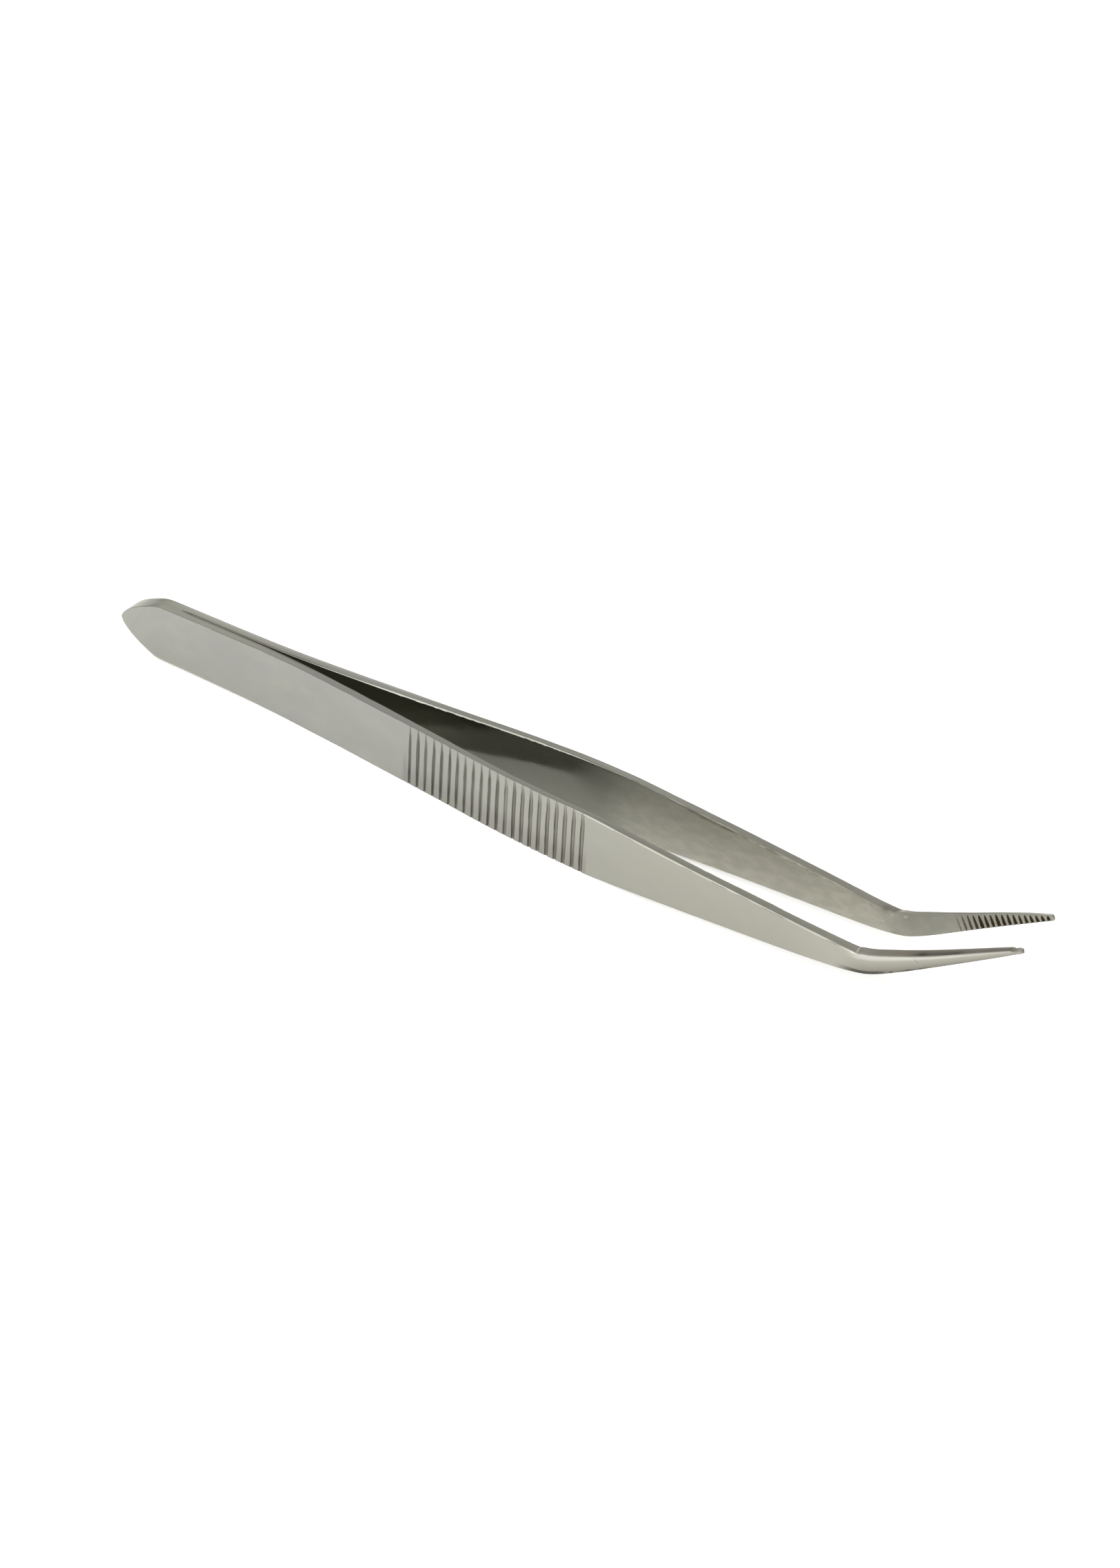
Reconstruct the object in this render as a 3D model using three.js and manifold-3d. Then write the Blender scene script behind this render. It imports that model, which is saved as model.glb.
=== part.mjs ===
// Angled, serrated tip tweezers: two mirror-image spring-steel arms fused
// together at the tail.
//
// Frame: millimetres. +X runs from the fused tail towards the tips, +Y towards
// the left arm, +Z up (the way the tips bend). The origin is the middle of the
// bottom of the box round the whole object. The tweezers stand on the lower
// edges of their arms, on z = 0.
import * as THREE from 'three';
import { mergeVertices } from 'three/addons/utils/BufferGeometryUtils.js';
import Module from 'manifold-3d';

// ---------------------------------------------------------------- dimensions
const LENGTH = 150;            // overall, tail end to tip end
const EDGE_DROP = 4.85;        // blade centreline above the resting edge

// Every table below is written as [distance from the tail end, value].

// upper edge of the blade, above the blade centreline
const UPPER_EDGE = [
  [0, 0], [0.07, 0.42], [0.25, 0.8], [0.58, 1.25], [1.0, 1.66], [1.96, 2.38],
  [2.6, 2.75], [3.2, 3.07], [4.5, 3.65], [5.73, 4.13], [6.3, 4.27], [7.0, 4.39],
  [8.8, 4.47], [12, 4.52], [18.8, 4.6],
  [27, 4.7], [37.3, 4.76], [57.8, 4.81], [68, 4.85], [76.3, 4.89], [81, 4.88],
  [84, 4.8], [88.6, 4.47], [98.9, 3.72], [109.2, 3.0], [119.4, 2.22],
  [122.5, 1.98], [124.4, 1.86], [125.6, 1.84], [126.3, 1.86], [126.6, 1.95],
  [127.0, 2.09], [127.7, 2.28], [128.8, 2.68], [130.5, 3.4], [132.0, 4.04],
  [133.8, 4.82], [136.9, 6.25], [142.0, 8.76], [146.0, 10.75], [148.2, 11.86],
  [149.5, 12.52],
];
// lower edge of the blade; straight from 34 to 84, where the tool rests
const LOWER_EDGE = [
  [0, 0], [0.07, -0.34], [0.25, -0.68], [0.58, -1.08], [1.0, -1.5], [1.63, -2.05],
  [2.25, -2.5], [2.9, -2.91], [4.1, -3.53], [5.4, -4.06], [6.1, -4.3], [6.6, -4.36],
  [12, -4.43], [18.8, -4.53], [27, -4.7], [34, -4.85], [84, -4.85], [86, -4.68],
  [88.6, -4.49], [98.9, -3.74], [109.2, -3.0], [119.4, -2.23], [122.4, -1.92],
  [124.6, -1.61], [126.4, -1.28], [127.7, -0.95], [128.7, -0.57], [130.7, 0.45],
  [132.8, 1.68], [134.8, 2.93], [136.9, 4.25], [142.0, 7.4], [148.2, 11.2],
  [149.3, 11.84],
];
// rounded nose of the tip, from the lower edge round to the upper edge
const TIP_NOSE = [[149.72, 12.1], [150, 12.42], [149.9, 12.62]];

// inner face, sideways from the plane between the arms
const INNER_FACE = [
  [0, 0], [12, 0], [16, 0.02], [22, 0.06], [27, 0.165], [32, 0.42],
  [37.3, 0.83], [47.6, 1.8], [57.8, 2.93], [68.1, 4.03], [76.3, 4.55],
  [82.5, 4.74], [88.6, 4.83], [98.9, 4.88], [109.2, 4.78], [119.4, 4.58],
  [125.6, 4.4], [131.3, 4.33], [136.9, 4.19], [142, 4.07], [148.2, 3.82],
  [150, 3.74],
];
// metal thickness
const THICKNESS = [
  [0, 1.38], [16, 1.38], [47, 1.38], [52, 1.34], [57.8, 1.27], [68, 1.22],
  [80, 1.22], [88.6, 1.24], [98.9, 1.3], [109, 1.37], [119, 1.48],
  [125.6, 1.59], [131, 1.7], [137, 1.68], [142, 1.56], [148, 1.3], [150, 1.1],
];

const WELD_LENGTH = 9.7;       // fused zone at the tail
const WELD_HALF = 0.25;        // half the thickness of the fused metal
const WELD_POCKET = 10;        // where each arm's weld pocket ends

const FLEX_X = 25;             // flexure line, the effective hinge of each arm
const FLEX_KERF = 0.3;         // clearance where the arm leaves its root

const GRIP_COUNT = 22;         // cross grooves on each outer face
const GRIP_FIRST = 52.7;
const GRIP_PITCH = 1.44;
const GRIP_WIDTH = 0.42;
const GRIP_FLOOR = 0.2;
const GRIP_DEPTH = 0.24;

const TEETH_COUNT = 17;        // cross serrations on each inner face
const TEETH_FIRST = [135.7, 4.98];
const TEETH_LAST = [148.8, 11.88];
const TEETH_WIDTH = 0.46;
const TEETH_DEPTH = 0.26;

const NOSE_FROM = 127.5;       // half-round outer side of the tip
const NOSE_SIDES = 28;

// ---------------------------------------------------------------- helpers
const wasm = await Module();
wasm.setup();

// monotone cubic through a table of [x, value]
function curve(table) {
  const n = table.length;
  const h = [], d = [], m = new Array(n).fill(0);
  for (let i = 0; i < n - 1; i++) {
    h.push(table[i + 1][0] - table[i][0]);
    d.push((table[i + 1][1] - table[i][1]) / h[i]);
  }
  m[0] = d[0];
  m[n - 1] = d[n - 2];
  for (let i = 1; i < n - 1; i++) {
    if (d[i - 1] * d[i] > 0) {
      const a = 2 * h[i] + h[i - 1], b = h[i] + 2 * h[i - 1];
      m[i] = (a + b) / (a / d[i - 1] + b / d[i]);
    }
  }
  return (x) => {
    if (x <= table[0][0]) return table[0][1];
    if (x >= table[n - 1][0]) return table[n - 1][1];
    let i = 0;
    while (x > table[i + 1][0]) i++;
    const t = (x - table[i][0]) / h[i];
    const t2 = t * t, t3 = t2 * t;
    return (2 * t3 - 3 * t2 + 1) * table[i][1] + (t3 - 2 * t2 + t) * h[i] * m[i]
      + (3 * t2 - 2 * t3) * table[i + 1][1] + (t3 - t2) * h[i] * m[i + 1];
  };
}

const innerFace = curve(INNER_FACE);
const thickness = curve(THICKNESS);
const outerFace = (x) => innerFace(x) + thickness(x);

function solid(geometry) {
  const g = geometry.clone();
  g.deleteAttribute('normal');
  g.deleteAttribute('uv');
  const merged = mergeVertices(g, 1e-4);
  return new wasm.Manifold(new wasm.Mesh({
    numProp: 3,
    vertProperties: new Float32Array(merged.attributes.position.array),
    triVerts: new Uint32Array(merged.index.array),
  }));
}

function geometryOf(manifold) {
  const mesh = manifold.getMesh();
  const g = new THREE.BufferGeometry();
  const p = new Float32Array(mesh.numVert * 3);
  for (let i = 0; i < mesh.numVert; i++) {
    for (let k = 0; k < 3; k++) p[3 * i + k] = mesh.vertProperties[mesh.numProp * i + k];
  }
  g.setAttribute('position', new THREE.BufferAttribute(p, 3));
  g.setIndex(new THREE.BufferAttribute(new Uint32Array(mesh.triVerts), 1));
  g.computeVertexNormals();
  return g;
}

const shapeOf = (points) => new THREE.Shape(points.map(([x, y]) => new THREE.Vector2(x, y)));

// a prism whose outline is given in x, z and which runs along y
function prismAlongY(points, y0, y1) {
  const g = new THREE.ExtrudeGeometry(shapeOf(points), { depth: y1 - y0, bevelEnabled: false });
  g.rotateX(Math.PI / 2);
  g.translate(0, y1, 0);
  return solid(g);
}

// a prism whose outline is given in x, y and which runs along z
function prismAlongZ(points, z0, z1) {
  const g = new THREE.ExtrudeGeometry(shapeOf(points), { depth: z1 - z0, bevelEnabled: false });
  g.translate(0, 0, z0);
  return solid(g);
}

function block(x0, x1, y0, y1, z0, z1) {
  const g = new THREE.BoxGeometry(x1 - x0, y1 - y0, z1 - z0);
  g.translate((x0 + x1) / 2, (y0 + y1) / 2, (z0 + z1) / 2);
  return solid(g);
}

// ---------------------------------------------------------------- the blade seen from the side
const sideOutline = [
  ...LOWER_EDGE,
  ...TIP_NOSE,
  ...UPPER_EDGE.slice(1).reverse(),
];
const sideProfile = prismAlongY(sideOutline, -9, 9);

// ---------------------------------------------------------------- one arm, side = +1 left, -1 right
function armBlank(side) {
  const stations = [WELD_POCKET, 12, 14, 16, 19, 22, 24.85, 25.15, 28, 31, 34, 37.5, 41, 45, 49, 51.8,
    55, 58, 61, 64, 67, 70, 73, 76, 79, 82, 85, 88.6, 93, 98.9, 104, 109.2, 114, 119.4, 122.5, 125.6,
    128, 131, 134, 137, 140, 143, 146, 148.5, LENGTH + 0.5];
  const inner = stations.map((x) => [x, innerFace(x)]);
  const outer = stations.map((x) => [x, outerFace(x)]);
  const ring = [
    [-0.5, WELD_HALF], [WELD_POCKET, WELD_HALF],
    ...inner,
    ...outer.reverse(),
    [-0.5, outerFace(0)],
  ].map(([x, y]) => [x, y * side]);
  if (side < 0) ring.reverse();
  return sideProfile.intersect(prismAlongZ(ring, -9, 16));
}

// trapezoid groove running across the outer face
function gripGroove(x, side) {
  const y = outerFace(x);
  const slope = Math.atan2(outerFace(x + 0.5) - outerFace(x - 0.5), 1);
  const up = 0.4;
  const flare = (GRIP_WIDTH - GRIP_FLOOR) / 2 / GRIP_DEPTH * up;
  const ring = [
    [-GRIP_FLOOR / 2, -GRIP_DEPTH], [GRIP_FLOOR / 2, -GRIP_DEPTH],
    [GRIP_WIDTH / 2 + flare, up], [-GRIP_WIDTH / 2 - flare, up],
  ].map(([u, v]) => [
    x + u * Math.cos(slope) - v * Math.sin(slope),
    (y + u * Math.sin(slope) + v * Math.cos(slope)) * side,
  ]);
  if (side < 0) ring.reverse();
  return prismAlongZ(ring, -7, 7);
}

// V groove running across the inner face, square to the tip's own axis
const tipPitch = Math.atan2(TEETH_LAST[1] - TEETH_FIRST[1], TEETH_LAST[0] - TEETH_FIRST[0]);
function tooth(k, side) {
  const f = k / (TEETH_COUNT - 1);
  const x = TEETH_FIRST[0] + f * (TEETH_LAST[0] - TEETH_FIRST[0]);
  const z = TEETH_FIRST[1] + f * (TEETH_LAST[1] - TEETH_FIRST[1]);
  const deep = TEETH_DEPTH * [0.45, 0.7, 0.9][Math.min(k, 2)] / 0.9;
  const down = 0.3;
  const half = TEETH_WIDTH / 2 * (1 + down / TEETH_DEPTH);
  const ring = [[-half, -down], [half, -down], [0, deep]].map(([u, v]) => [u, v * side]);
  if (side < 0) ring.reverse();
  const g = new THREE.ExtrudeGeometry(shapeOf(ring), { depth: 6, bevelEnabled: false });
  g.translate(0, 0, -3);
  g.rotateY(-tipPitch);
  g.translate(x, innerFace(x) * side, z);
  return solid(g);
}

// tapered half-round envelope of the tip
function tipEnvelope(side) {
  const start = new THREE.Vector3(NOSE_FROM - 4, innerFace(NOSE_FROM) - 0.02, -1.35);
  const end = new THREE.Vector3(LENGTH + 0.9, innerFace(LENGTH) - 0.1, 12.92);
  const size0 = [3.6, 3.0];    // half height, half thickness at the knee
  const size1 = [0.36, 1.24];  // the same at the very tip
  const long = start.distanceTo(end);
  const g = new THREE.CylinderGeometry(1, 1, long, NOSE_SIDES, 8);
  const p = g.attributes.position;
  const axis = end.clone().sub(start).normalize();
  const up = new THREE.Vector3(-axis.z, 0, axis.x).normalize();
  const out = new THREE.Vector3().crossVectors(up, axis).normalize();
  if (out.y < 0) out.negate();
  const v = new THREE.Vector3();
  for (let i = 0; i < p.count; i++) {
    const f = p.getY(i) / long + 0.5;
    const a = size0[0] + (size1[0] - size0[0]) * f;
    const b = size0[1] + (size1[1] - size0[1]) * Math.pow(f, 0.8);
    // fuller than an ellipse, so the blade keeps soft corners instead of a half-round
    const c = Math.abs(p.getX(i)), d = Math.abs(p.getZ(i));
    const fuller = c + d > 0.5 ? Math.pow(c ** 3.2 + d ** 3.2, -1 / 3.2) : 1;
    v.copy(start).addScaledVector(axis, f * long)
      .addScaledVector(up, p.getX(i) * a * fuller)
      .addScaledVector(out, p.getZ(i) * b * fuller);
    p.setXYZ(i, v.x, v.y * side, v.z);
  }
  // keep the faces pointing out whichever way the frame above turned
  const turned = new THREE.Vector3().crossVectors(up, axis).dot(out) * side;
  if (turned < 0) {
    const index = g.index.array;
    for (let i = 0; i < index.length; i += 3) {
      const t = index[i]; index[i] = index[i + 1]; index[i + 1] = t;
    }
  }
  return solid(g);
}

function arm(side) {
  let body = armBlank(side);
  const nose = block(NOSE_FROM, LENGTH + 5, -9, 9, -9, 16);
  body = body.subtract(nose.subtract(tipEnvelope(side)));
  const cuts = [];
  for (let k = 0; k < GRIP_COUNT; k++) cuts.push(gripGroove(GRIP_FIRST + k * GRIP_PITCH, side));
  for (let k = 0; k < TEETH_COUNT; k++) cuts.push(tooth(k, side));
  for (const c of cuts) body = body.subtract(c);
  return body;
}

// ---------------------------------------------------------------- pieces
const group = new THREE.Group();

function place(name, manifold, material) {
  const g = geometryOf(manifold);
  g.translate(-LENGTH / 2, 0, EDGE_DROP);
  const mesh = new THREE.Mesh(g, material);
  mesh.name = name;
  group.add(mesh);
}

const steel = (hex, roughness) => new THREE.MeshStandardMaterial({ color: hex, roughness, metalness: 1 });

const split0 = FLEX_X - FLEX_KERF / 2;
const split1 = FLEX_X + FLEX_KERF / 2;
const rootHalf = block(-1, split0, -9, 9, -9, 16);
const freeHalf = block(split1, LENGTH + 5, -9, 9, -9, 16);

for (const [name, side] of [['left', 1], ['right', -1]]) {
  const whole = arm(side);
  place(`${name}_arm`, whole.intersect(freeHalf), steel(0xb7b5ab, 0.34));
  place(`${name}_arm_root`, whole.intersect(rootHalf), steel(0xb2b1a9, 0.38));
}

place('tail_weld',
  sideProfile.intersect(block(-1, WELD_LENGTH, -WELD_HALF, WELD_HALF, -9, 16)),
  steel(0xa6a59c, 0.45));

export default group;
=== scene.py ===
"""Steel tweezers: two long blades fused at the tail, with a cross-grooved grip and raised tips.

The tail is at -X and the tips at +X. The arms mirror each other across y = 0, the left one
on +Y. They stand on their long edges, the lowest at z = 0.
"""
import math
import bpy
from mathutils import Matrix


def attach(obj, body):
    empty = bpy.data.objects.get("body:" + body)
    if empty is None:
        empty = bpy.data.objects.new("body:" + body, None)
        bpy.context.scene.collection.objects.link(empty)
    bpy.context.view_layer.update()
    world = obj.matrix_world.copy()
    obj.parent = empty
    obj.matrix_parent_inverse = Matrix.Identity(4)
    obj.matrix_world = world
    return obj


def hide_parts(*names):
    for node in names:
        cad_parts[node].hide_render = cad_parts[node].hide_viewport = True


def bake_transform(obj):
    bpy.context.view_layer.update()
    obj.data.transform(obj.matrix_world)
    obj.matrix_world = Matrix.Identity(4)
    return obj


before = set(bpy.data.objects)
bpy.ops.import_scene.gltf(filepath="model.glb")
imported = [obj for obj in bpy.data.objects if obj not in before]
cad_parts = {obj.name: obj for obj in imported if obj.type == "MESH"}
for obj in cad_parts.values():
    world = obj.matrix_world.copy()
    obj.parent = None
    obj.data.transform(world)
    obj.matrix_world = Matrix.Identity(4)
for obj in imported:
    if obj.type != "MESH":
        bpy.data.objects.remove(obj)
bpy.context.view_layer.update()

from types import SimpleNamespace

import bmesh
import bpy
import numpy as np
from mathutils import Matrix, Vector
from mathutils.kdtree import KDTree

# ------------------------------------------------------------------ sizes
# Millimetres. Until a mesh is built, x runs from the tail end to the tip, z is height above
# the blade's centreline, and depth runs outwards through the metal from the inner face,
# the one that faces the other arm.
LENGTH = 150.0

# [x, z]
UPPER_EDGE = [
    [0, 0], [0.07, 0.42], [0.25, 0.8], [0.58, 1.25], [1.0, 1.66], [1.96, 2.38],
    [2.6, 2.75], [3.2, 3.07], [4.5, 3.65], [5.73, 4.13], [6.3, 4.27], [7.0, 4.39],
    [8.8, 4.47], [12, 4.52], [18.8, 4.6],
    [27, 4.7], [37.3, 4.76], [57.8, 4.81], [68, 4.85], [76.3, 4.89], [81, 4.88],
    [84, 4.8], [88.6, 4.47], [98.9, 3.72], [109.2, 3.0], [119.4, 2.22],
    [122.5, 1.98], [124.4, 1.86], [125.6, 1.84], [126.3, 1.86], [126.6, 1.95],
    [127.0, 2.09], [127.7, 2.28], [128.8, 2.68], [130.5, 3.4], [132.0, 4.04],
    [133.8, 4.82], [136.9, 6.25], [142.0, 8.76], [146.0, 10.73], [148.2, 11.78],
    [149.5, 12.36],
]
# [x, z]
LOWER_EDGE = [
    [0, 0], [0.07, -0.34], [0.25, -0.68], [0.58, -1.08], [1.0, -1.5], [1.63, -2.05],
    [2.25, -2.5], [2.9, -2.91], [4.1, -3.53], [5.4, -4.06], [6.1, -4.3], [6.6, -4.36],
    [12, -4.43], [18.8, -4.53], [27, -4.7], [34, -4.85], [84, -4.85], [86, -4.68],
    [88.6, -4.49], [98.9, -3.74], [109.2, -3.0], [119.4, -2.23], [122.4, -1.92],
    [124.6, -1.61], [126.4, -1.28], [127.7, -0.95], [128.7, -0.57], [130.7, 0.45],
    [132.8, 1.68], [134.8, 2.93], [136.9, 4.25], [142.0, 7.4], [148.2, 11.2],
    [149.3, 11.88],
]
# [x, distance of the inner face from y = 0]
INNER_FACE = [
    [0, 0], [12, 0], [16, 0.02], [22, 0.06], [27, 0.165], [32, 0.42],
    [37.3, 0.83], [47.6, 1.8], [57.8, 2.93], [68.1, 4.03], [76.3, 4.55],
    [82.5, 4.74], [88.6, 4.83], [98.9, 4.88], [109.2, 4.78], [119.4, 4.58],
    [125.6, 4.4], [131.3, 4.33], [136.9, 4.19], [142, 4.07], [148.2, 3.82],
    [150, 3.74],
]
# [x, thickness of the metal]
THICKNESS = [
    [0, 1.38], [16, 1.38], [47, 1.38], [52, 1.34], [57.8, 1.27], [68, 1.22],
    [80, 1.22], [88.6, 1.24], [98.9, 1.3], [109, 1.37], [119, 1.48],
    [125.6, 1.59], [131, 1.7], [137, 1.68], [142, 1.56], [148, 1.3], [150, 1.1],
]
# section lines across the blade: [station, x on the upper edge, x on the lower edge]
SECTION_LINES = [
    [0, 0, 0], [112, 112, 112], [118, 118, 118.05], [122.6, 122.4, 122.9],
    [127.3, 126.9, 127.75], [129.2, 128.6, 129.8], [130.85, 130.2, 131.5],
    [136.8, 136.4, 137.25], [142.75, 142.5, 143.02], [148.33, 148.2, 148.47],
    [149.2, 149.1, 149.27],
]
LIFT = -min(z for x, z in LOWER_EDGE)   # raises the lowest edge to z = 0
FACE_GAP = 0.004                        # keeps each inner face just off its curve
MIN_METAL = 0.12

NOSE_FROM = 148.95
NOSE_LENGTH = 0.80
NOSE_ANGLES = [0, 12, 24, 36, 47, 57, 66, 74, 80.5, 86]   # degrees round the nose
TIP_WAY = np.array([0.905, 0.425, 0])   # direction the tips point in, as x, z, depth

WELD_POCKET = 10.0
WELD_LENGTH = WELD_POCKET - 0.05
WELD_HALF = 0.25

GRIP_COUNT, GRIP_FIRST, GRIP_PITCH = 22, 52.7, 1.44
GRIP_DEPTH = 0.22
GRIP_WALL = -0.13          # foot of a groove's steep wall, from the groove's station
TEETH_COUNT = 17
TEETH_FIRST, TEETH_LAST = 135.78, 148.82
TEETH_PITCH = (TEETH_LAST - TEETH_FIRST) / (TEETH_COUNT - 1)
TEETH_WIDTH, TEETH_DEPTH = 0.52, 0.27

# mesh stations at the tail, about each groove (mm) and about each tooth (shares of the pitch)
TAIL_STATIONS = [0.012, 0.035, 0.075, 0.13, 0.2, 0.3, 0.42, 0.58, 0.78, 1.0, 1.3, 1.65, 2.05,
                 2.5, 3.0, 3.6, 4.2, 4.8, 5.4, 5.8, 6.1, 6.4, 6.8, 7.2, 7.7, 8.3, 9.0]
GRIP_STATIONS = [-0.40, -0.33, -0.285, -0.25, -0.215, -0.18, -0.145, -0.11, -0.06, 0.0, 0.06,
                 0.12, 0.18, 0.23, 0.27, 0.31, 0.35, 0.42, 0.52, 0.72, 0.9]
TEETH_STATIONS = [-0.44, -0.36, -0.3, -0.26, -0.21, -0.16, -0.1, -0.04, 0.02, 0.08, 0.14,
                  0.2, 0.25, 0.29, 0.35, 0.43, 0.5]
MIN_STEP = 0.018

EDGE_STEPS, FACE_POINTS, WALL_POINTS = 7, 21, 7
EDGE_REACH = 0.42          # width of the closely spaced band beside each edge ...
EDGE_REACH_SHARE = 0.42    # ... and its largest share of the blade's height
WELD_FACE_POINTS, WELD_WIDTH_POINTS = 25, 9
SHARP_ANGLE = 38


# ------------------------------------------------------------------ curves and noise
def pchip(table):
    """Curve through [x, value] rows that never overshoots between them."""
    xs, values = np.array(table, float).T
    step = np.diff(xs)
    rise = np.diff(values) / step
    slope = np.zeros(len(xs))
    slope[0], slope[-1] = rise[0], rise[-1]
    for i in range(1, len(xs) - 1):
        if rise[i - 1] * rise[i] > 0:
            before, after = 2 * step[i] + step[i - 1], step[i] + 2 * step[i - 1]
            slope[i] = (before + after) / (before / rise[i - 1] + after / rise[i])

    def curve(x):
        x = np.clip(np.asarray(x, float), xs[0], xs[-1])
        i = np.clip(np.searchsorted(xs, x, side="right") - 1, 0, len(step) - 1)
        u = (x - xs[i]) / step[i]
        return (
            (2 * u**3 - 3 * u**2 + 1) * values[i]
            + (u**3 - 2 * u**2 + u) * step[i] * slope[i]
            + (3 * u**2 - 2 * u**3) * values[i + 1]
            + (u**3 - u**2) * step[i] * slope[i + 1]
        )

    return curve


upper, lower = pchip(UPPER_EDGE), pchip(LOWER_EDGE)
inner_face, thickness = pchip(INNER_FACE), pchip(THICKNESS)
line_top = pchip([[row[0], row[1]] for row in SECTION_LINES])
line_low = pchip([[row[0], row[2]] for row in SECTION_LINES])


def ease(u):
    return u * u * (3 - 2 * u)


def smooth(start, end, value):
    """Eased step from 0 at start to 1 at end; it falls instead if start is above end."""
    return ease(np.clip((np.asarray(value, float) - start) / (end - start), 0, 1))


def band(value, rise, fall):
    """1 between two eased steps, 0 outside them."""
    return smooth(*rise, value) * (1 - smooth(*fall, value))


def spot(value, at, width):
    """Bell curve, 1 at its middle."""
    return np.exp(-((value - at) / width) ** 2)


def noise1(x, seed):
    """Smooth noise along a line, about -1 to 1, one bump per unit."""
    table = np.random.RandomState(seed).uniform(-1, 1, 512)
    x = np.asarray(x, float)
    i = np.floor(x).astype(int)
    u = ease(x - i)
    return table[i % 512] * (1 - u) + table[(i + 1) % 512] * u


def noise2(x, y, seed):
    """Smooth noise on a plane, about -1 to 1."""
    table = np.random.RandomState(seed).uniform(-1, 1, (128, 128))
    x, y = np.asarray(x, float), np.asarray(y, float)
    i, j = np.floor(x).astype(int), np.floor(y).astype(int)
    u, v = ease(x - i), ease(y - j)

    def row(j):
        return table[i % 128, j % 128] * (1 - u) + table[(i + 1) % 128, j % 128] * u

    return row(j) * (1 - v) + row(j + 1) * v


def waves(value, seed, *table):
    """Sum of noise waves, each (step added to the seed, size, bumps per unit[, shift])."""
    return sum(size * noise1(value * rate + sum(shift), seed + step)
               for step, size, rate, *shift in table)


def surface_waves(grid, seed, *table):
    """The same over a face: (step added to the seed, size, bumps per mm along, and in z)."""
    return sum(size * noise2(grid.along * rate, grid.z * rate_z, seed + step)
               for step, size, rate, rate_z in table)


def rounding(radius, edge):
    """Depth a rounded corner takes away at a distance from the edge."""
    return radius - np.sqrt(np.maximum(radius**2 - np.clip(radius - edge, 0, None) ** 2, 0))


# ------------------------------------------------------------------ side grid
def mesh_stations():
    """Stations of the section lines, close together where there is detail."""
    stations = TAIL_STATIONS + list(np.arange(9.5, 52.2, 0.55))
    for k in range(GRIP_COUNT):
        stations += [GRIP_FIRST + k * GRIP_PITCH + u for u in GRIP_STATIONS]
    grip_end = GRIP_FIRST + (GRIP_COUNT - 1) * GRIP_PITCH + 1.1
    for start, end, step in ((grip_end, 118, 0.5), (118.2, TEETH_FIRST - 0.6, 0.26),
                             (126.0, 127.4, 0.07), (135.0, 135.9, 0.045)):
        stations += list(np.arange(start, end, step))
    for k in range(-1, TEETH_COUNT):
        stations += [TEETH_FIRST + k * TEETH_PITCH + TEETH_PITCH * u for u in TEETH_STATIONS]
    stations = np.unique(np.round(np.array(stations), 4))
    keep = [stations[0]]
    for station in stations[1:]:
        if station - keep[-1] > MIN_STEP:
            keep.append(station)
    keep = np.array(keep)
    return keep[keep < NOSE_FROM - 0.02]


def section_ends(stations):
    """Upper and lower end (x, z) of each section line, with the rounded nose added."""
    def ends(stations):
        top_x, low_x = line_top(stations), line_low(stations)
        return np.stack([top_x, upper(top_x)], -1), np.stack([low_x, lower(low_x)], -1)

    top, low = ends(stations)
    nose_top, nose_low = ends(NOSE_FROM)
    middle, half = (nose_top + nose_low) / 2, (nose_top - nose_low) / 2
    ahead = np.array([half[1], -half[0]])
    ahead /= np.linalg.norm(ahead)
    u = np.sin(np.radians(NOSE_ANGLES))
    centre = middle + np.outer(u * NOSE_LENGTH, ahead)
    # the nose is rounder above than below
    top = np.vstack([top, centre + np.outer((1 - u**3.0) ** 0.5, half)])
    low = np.vstack([low, centre - np.outer((1 - u**8.0) ** 0.35, half)])
    return np.concatenate([stations, NOSE_FROM + u * NOSE_LENGTH]), top, low


def distance_to_outline(points):
    """Shortest distance from each (x, z) to the blade's outline, seen from the side."""
    fine = np.concatenate([np.linspace(0, 1, 60) ** 2 * 8, np.linspace(8.1, NOSE_FROM, 900)])
    top, low = section_ends(fine)[1:]
    outline = np.vstack([top, low[::-1]])
    count = len(outline)
    tree = KDTree(count)
    for i, (x, z) in enumerate(outline):
        tree.insert((x, z, 0), i)
    tree.balance()
    near = np.array([tree.find((x, z, 0))[1] for x, z in points])
    best = np.full(len(points), 1e9)
    for start, end in ((outline[near - 1], outline[near]),
                       (outline[near], outline[(near + 1) % count])):
        run = end - start
        length2 = np.maximum((run**2).sum(1), 1e-12)
        u = np.clip(((points - start) * run).sum(1) / length2, 0, 1)
        best = np.minimum(best, np.sqrt(((start + u[:, None] * run - points) ** 2).sum(1)))
    return best


def spacing(height):
    """Distances up each section line from its lower end, close together near both ends."""
    reach = np.minimum(EDGE_REACH, EDGE_REACH_SHARE * height)
    band_part = (1 - np.cos(np.linspace(0, math.pi / 2, EDGE_STEPS + 1))) * reach
    middle = np.linspace(0, 1, FACE_POINTS + 2)[1:-1]
    return np.hstack([band_part, reach + middle * (height - 2 * reach),
                      height - band_part[:, ::-1]])


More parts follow.
